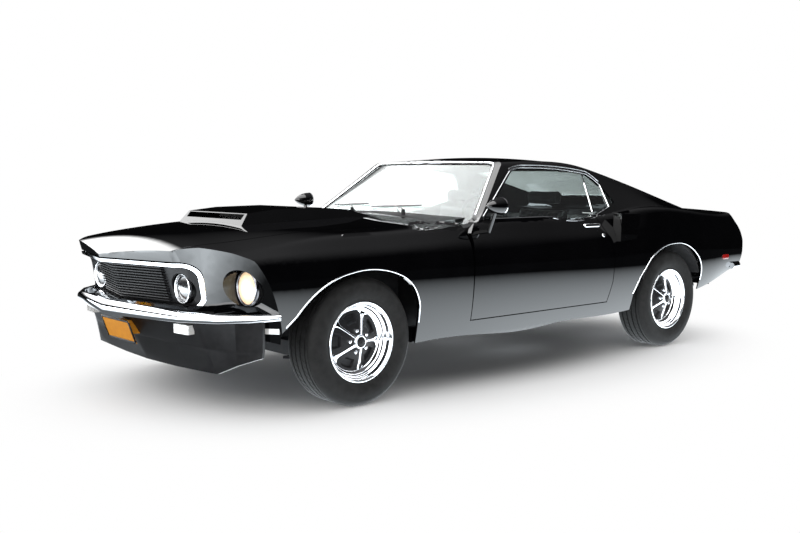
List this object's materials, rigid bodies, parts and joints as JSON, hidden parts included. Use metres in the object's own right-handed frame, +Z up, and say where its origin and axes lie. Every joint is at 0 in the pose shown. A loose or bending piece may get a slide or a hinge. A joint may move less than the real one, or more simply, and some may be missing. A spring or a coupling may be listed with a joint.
{
  "type": "two-door fastback muscle car",
  "caption": "Black two-door fastback muscle car with hood scoop, round headlamps, chrome bumpers, opening doors, hood and trunk lid, steered front wheels and rolling tyres.",
  "frame": {"origin": "on the ground, at the middle of the overall length, on the centre line", "axes": "+X towards the tail, +Y towards the car's right side, +Z up"},
  "size_m": [4.7705, 1.906, 1.2904],
  "materials": {
    "body_paint": "gloss",
    "black_paint": "satin",
    "chrome": "polished",
    "window_glass": "polished",
    "lamp_glass": "polished",
    "red_lens": "gloss",
    "grille_black": "matte",
    "underbody": "matte",
    "bare_steel": "brushed",
    "engine_iron": "rough",
    "tyre_rubber": "matte",
    "trim_vinyl": "satin",
    "dash_plastic": "matte",
    "plate_paint": "gloss"
  },
  "bodies": {
    "body": {"front_fenders": "body_paint", "rocker_panels": "body_paint", "quarter_panels": "body_paint", "roof": "body_paint", "rear_deck": "body_paint", "tail_panel": "body_paint", "cowl": "black_paint", "windshield": "window_glass", "rear_window": "window_glass", "quarter_windows": "window_glass", "grille_moulding": "chrome", "grille": "grille_black", "headlamps": "lamp_glass", "front_valance": "body_paint", "chin_spoiler": "black_paint", "front_bumper": "chrome", "front_markers": "lamp_glass", "rear_lamps": "red_lens", "rear_bumper": "chrome", "floor_pan": "underbody", "aprons": "underbody", "engine": "engine_iron", "driveshaft": "bare_steel", "rear_axle": "underbody", "fuel_tank": "underbody", "exhaust": "bare_steel", "front_suspension": "underbody", "dashboard": "dash_plastic", "steering_column": "dash_plastic", "front_seats": "trim_vinyl", "rear_seat": "trim_vinyl", "parcel_shelf": "dash_plastic", "wipers": "chrome", "front_plate": "plate_paint", "side_scoops": "black_paint"},
    "hood": {"hood": "body_paint", "hood_scoop": "black_paint"},
    "trunk_lid": {"trunk_lid": "body_paint"},
    "left_door": {"left_door": "body_paint", "left_door_glass": "window_glass", "left_door_trim": "trim_vinyl", "left_mirror": "body_paint"},
    "right_door": {"right_door": "body_paint", "right_door_glass": "window_glass", "right_door_trim": "trim_vinyl", "right_mirror": "body_paint"},
    "steering_wheel": {"steering_wheel": "dash_plastic"},
    "left_knuckle": {"left_knuckle": "bare_steel"},
    "right_knuckle": {"right_knuckle": "bare_steel"},
    "front_left_wheel": {"front_left_wheel": "chrome", "front_left_tyre": "tyre_rubber"},
    "front_right_wheel": {"front_right_wheel": "chrome", "front_right_tyre": "tyre_rubber"},
    "rear_left_wheel": {"rear_left_wheel": "chrome", "rear_left_tyre": "tyre_rubber"},
    "rear_right_wheel": {"rear_right_wheel": "chrome", "rear_right_tyre": "tyre_rubber"}
  },
  "joints": [
    {"name": "left_steer", "type": "hinge", "parent": "body", "child": "left_knuckle", "pos_m": [-1.395, -0.69, 0.33], "axis": [0, 0, 1], "range_deg": [-30, 30]},
    {"name": "right_steer", "type": "hinge", "parent": "body", "child": "right_knuckle", "pos_m": [-1.395, 0.69, 0.33], "axis": [0, 0, 1], "range_deg": [-30, 30]},
    {"name": "steering_wheel_turn", "type": "hinge", "parent": "body", "child": "steering_wheel", "pos_m": [-0.003, -0.385, 0.872], "axis": [0.9272, 0, 0.3746], "range_deg": [-485, 485]},
    {"name": "left_door_hinge", "type": "hinge", "parent": "body", "child": "left_door", "pos_m": [-0.642, -0.909, 0.6], "axis": [0, 0, -1], "range_deg": [0, 65]},
    {"name": "right_door_hinge", "type": "hinge", "parent": "body", "child": "right_door", "pos_m": [-0.642, 0.909, 0.6], "axis": [0, 0, 1], "range_deg": [0, 65]},
    {"name": "hood_hinge", "type": "hinge", "parent": "body", "child": "hood", "pos_m": [-0.758, 0, 0.95], "axis": [0, 1, 0], "range_deg": [0, 50]},
    {"name": "trunk_hinge", "type": "hinge", "parent": "body", "child": "trunk_lid", "pos_m": [1.768, 0, 1.005], "axis": [0, -1, 0], "range_deg": [0, 60]},
    {"name": "front_left_roll", "type": "hinge", "parent": "left_knuckle", "child": "front_left_wheel", "pos_m": [-1.395, -0.755, 0.33], "axis": [0, 1, 0], "continuous": true},
    {"name": "front_right_roll", "type": "hinge", "parent": "right_knuckle", "child": "front_right_wheel", "pos_m": [-1.395, 0.755, 0.33], "axis": [0, 1, 0], "continuous": true},
    {"name": "rear_left_roll", "type": "hinge", "parent": "body", "child": "rear_left_wheel", "pos_m": [1.348, -0.755, 0.33], "axis": [0, 1, 0], "continuous": true},
    {"name": "rear_right_roll", "type": "hinge", "parent": "body", "child": "rear_right_wheel", "pos_m": [1.348, 0.755, 0.33], "axis": [0, 1, 0], "continuous": true}
  ],
  "couplings": [
    {"joint": "right_steer", "follows": "left_steer", "ratio": 1},
    {"joint": "steering_wheel_turn", "follows": "left_steer", "ratio": 16}
  ]
}
